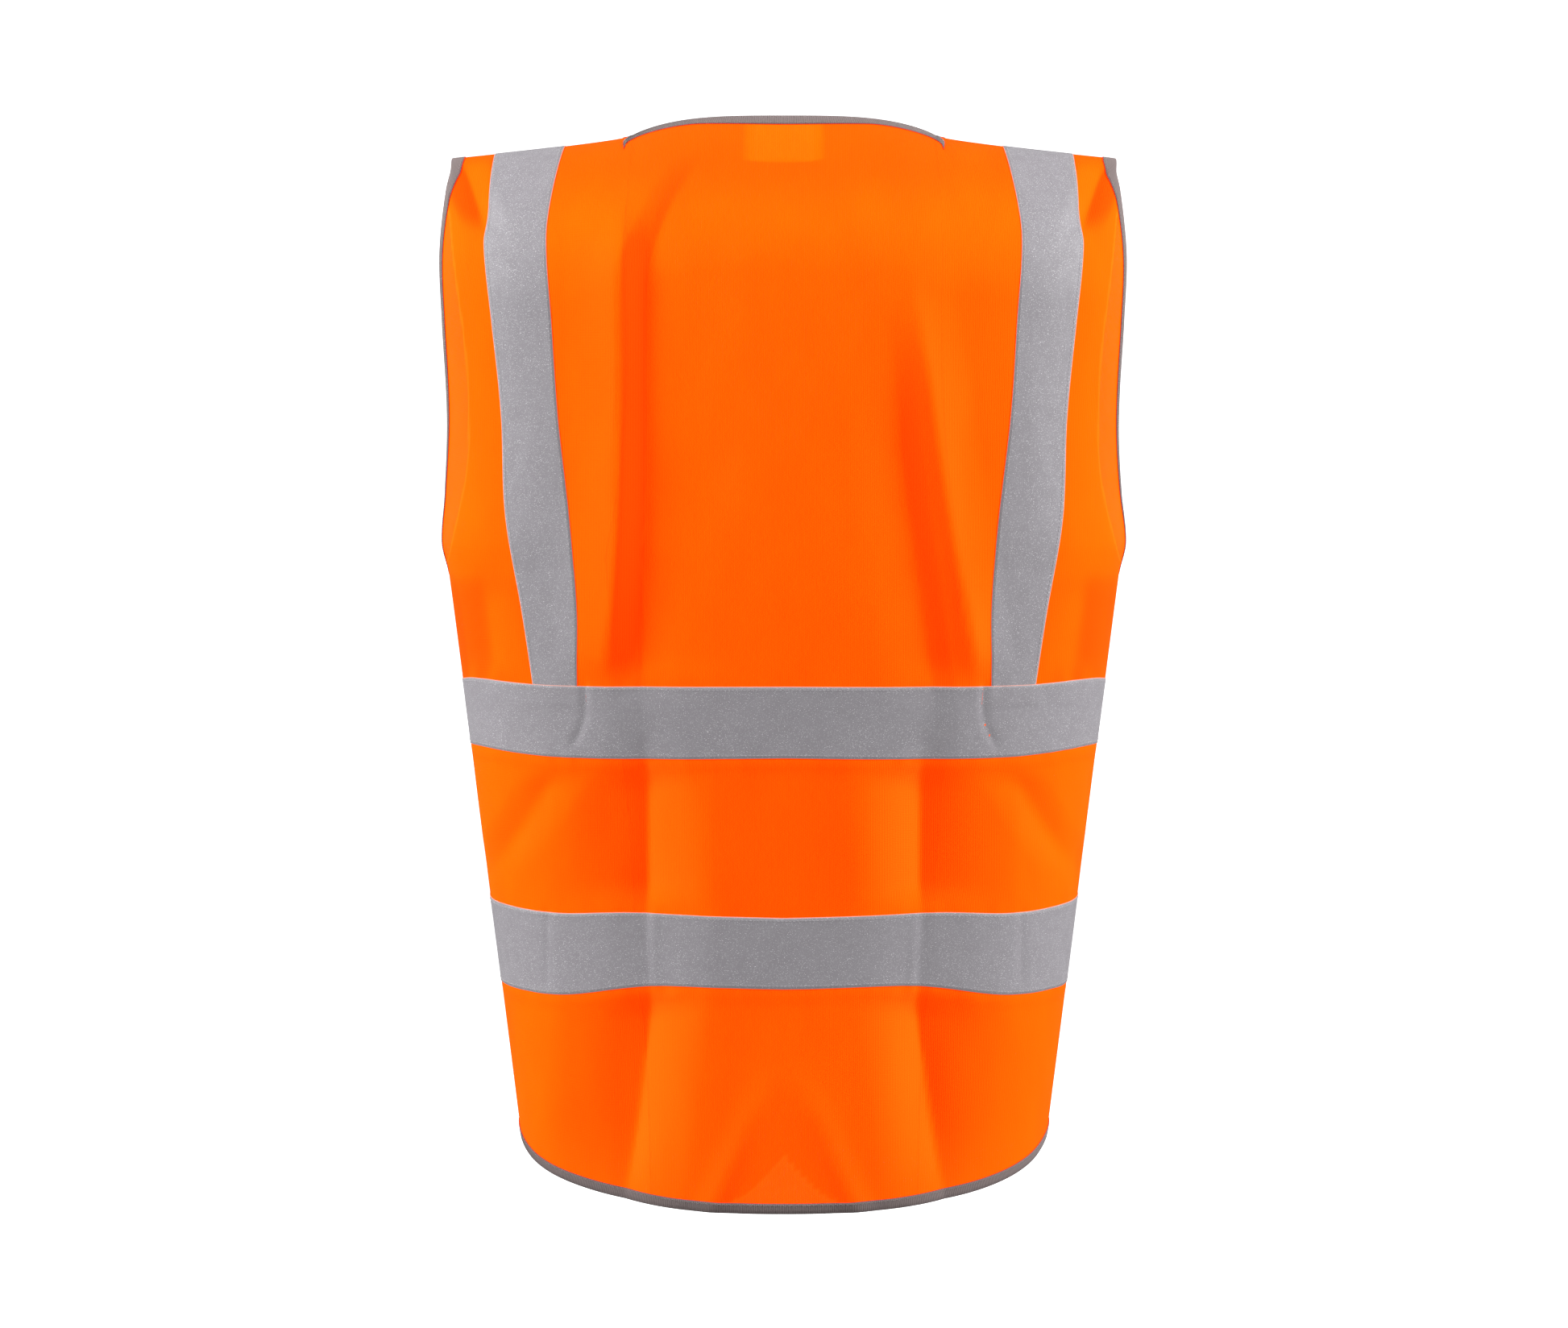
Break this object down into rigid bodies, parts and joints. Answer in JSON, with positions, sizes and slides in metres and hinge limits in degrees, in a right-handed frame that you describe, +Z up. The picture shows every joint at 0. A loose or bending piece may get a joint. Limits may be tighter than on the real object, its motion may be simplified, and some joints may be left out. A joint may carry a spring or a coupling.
{
  "type": "high-visibility vest",
  "caption": "Sleeveless orange high-visibility safety vest with silver reflective waist bands and shoulder braces, grey bound edges and an open-front hook-and-loop closure.",
  "frame": {"origin": "midway between the two points where the shoulder seams meet the neckline, where a hanger's neck passes; the vest hangs below it", "axes": "+Z up; the vest's front faces -Y and its back +Y; +X is the wearer's left"},
  "size_m": [0.4888, 0.2903, 0.7671],
  "materials": {
    "orange_knit": "matte",
    "reflective_tape": "satin",
    "grey_binding": "matte",
    "seam_allowance": "matte",
    "label_satin": "satin",
    "loop_tape": "matte",
    "hook_tape": "matte"
  },
  "bodies": {
    "back": {"back_panel": "orange_knit", "back_brace_tape_left": "reflective_tape", "back_brace_tape_right": "reflective_tape", "back_band_upper": "reflective_tape", "back_band_lower": "reflective_tape", "back_neck_binding": "grey_binding", "back_hem_binding": "grey_binding", "armhole_binding_back_left": "grey_binding", "armhole_binding_back_right": "grey_binding", "shoulder_seam_left": "seam_allowance", "shoulder_seam_right": "seam_allowance", "side_seam_left": "seam_allowance", "side_seam_right": "seam_allowance"},
    "neck_label": {"neck_label": "label_satin"},
    "care_label": {"care_label": "label_satin"},
    "front_left": {"front_panel_left": "orange_knit", "front_brace_tape_left": "reflective_tape", "front_band_upper_left": "reflective_tape", "front_band_lower_left": "reflective_tape", "front_edge_binding_left": "grey_binding", "front_hem_binding_left": "grey_binding", "armhole_binding_front_left": "grey_binding", "loop_tab_top": "loop_tape", "loop_tab_middle": "loop_tape", "loop_tab_bottom": "loop_tape"},
    "front_right": {"front_panel_right": "orange_knit", "front_brace_tape_right": "reflective_tape", "front_band_upper_right": "reflective_tape", "front_band_lower_right": "reflective_tape", "front_edge_binding_right": "grey_binding", "front_hem_binding_right": "grey_binding", "armhole_binding_front_right": "grey_binding", "hook_tab_top": "hook_tape", "hook_tab_middle": "hook_tape", "hook_tab_bottom": "hook_tape"}
  },
  "joints": [
    {"name": "front_left_open", "type": "hinge", "parent": "back", "child": "front_left", "pos_m": [0.2398, 0, -0.307], "axis": [0.1231, 0, 0.9924], "range_deg": [0, 75]},
    {"name": "front_right_open", "type": "hinge", "parent": "back", "child": "front_right", "pos_m": [-0.2398, 0, -0.307], "axis": [0.1231, 0, -0.9924], "range_deg": [0, 75]},
    {"name": "neck_label_flip", "type": "hinge", "parent": "back", "child": "neck_label", "pos_m": [-0.00494, 0.06681, 0.00227], "axis": [-1, 0, 0], "range_deg": [0, 110]},
    {"name": "care_label_flip", "type": "hinge", "parent": "back", "child": "care_label", "pos_m": [0.19953, 0.00442, -0.60977], "axis": [0.1231, 0, 0.9924], "range_deg": [0, 115]}
  ],
  "couplings": [
    {"joint": "front_right_open", "follows": "front_left_open", "ratio": 1}
  ]
}
